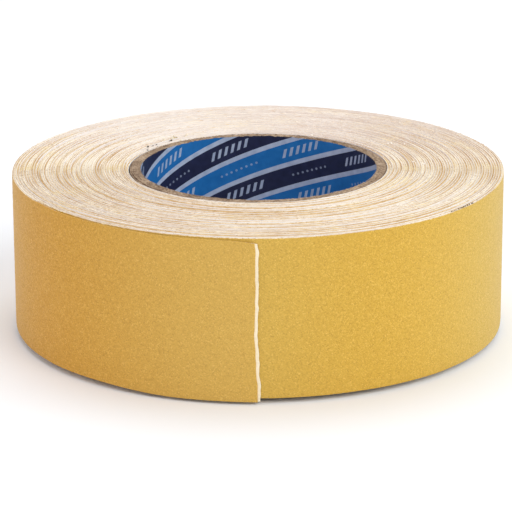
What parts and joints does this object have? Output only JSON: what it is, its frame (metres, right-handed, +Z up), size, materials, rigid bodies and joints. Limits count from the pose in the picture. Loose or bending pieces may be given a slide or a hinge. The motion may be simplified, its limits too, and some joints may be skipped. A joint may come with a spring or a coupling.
{
  "type": "anti-slip tape roll",
  "caption": "Roll of golden grit-coated tape with a white release liner, wound on a paper core with a blue printed lining, its loose end hanging a little low.",
  "frame": {"origin": "centre of the core's bore, at the core's lower end, on the plane that the roll stands on", "axes": "+Z up along the core's axis, -Y towards the loose end's cut edge, +X to the right when facing that edge"},
  "size_m": [0.1584, 0.159, 0.0526],
  "materials": {
    "lining": "satin",
    "core_board": "matte",
    "liner": "satin",
    "adhesive": "satin",
    "film": "satin",
    "grit": "matte"
  },
  "bodies": {
    "roll": {"core_lining": "lining", "core_ply_1": "core_board", "core_ply_2": "core_board", "core_ply_3": "core_board", "core_ply_4": "core_board", "core_ply_5": "core_board", "core_ply_6": "core_board", "release_liner": "liner", "adhesive_layer": "adhesive", "carrier_film": "film", "grit_coat": "grit"},
    "tail_1": {"tail_liner_1": "liner", "tail_adhesive_1": "adhesive", "tail_film_1": "film", "tail_grit_1": "grit"},
    "tail_2": {"tail_liner_2": "liner", "tail_adhesive_2": "adhesive", "tail_film_2": "film", "tail_grit_2": "grit"},
    "tail_3": {"tail_liner_3": "liner", "tail_adhesive_3": "adhesive", "tail_film_3": "film", "tail_grit_3": "grit"},
    "tail_4": {"tail_liner_4": "liner", "tail_adhesive_4": "adhesive", "tail_film_4": "film", "tail_grit_4": "grit"}
  },
  "joints": [
    {"name": "tail_peel_1", "type": "hinge", "parent": "roll", "child": "tail_1", "pos_m": [-0.06442, -0.0472, 0.0272], "axis": [0, 0, -1], "range_deg": [0, 20]},
    {"name": "tail_peel_2", "type": "hinge", "parent": "tail_1", "child": "tail_2", "pos_m": [-0.05172, -0.06094, 0.0272], "axis": [0, 0, -1], "range_deg": [0, 20]},
    {"name": "tail_peel_3", "type": "hinge", "parent": "tail_2", "child": "tail_3", "pos_m": [-0.03615, -0.07134, 0.0272], "axis": [0, 0, -1], "range_deg": [0, 20]},
    {"name": "tail_peel_4", "type": "hinge", "parent": "tail_3", "child": "tail_4", "pos_m": [-0.01859, -0.07782, 0.0272], "axis": [0, 0, -1], "range_deg": [0, 20]}
  ]
}
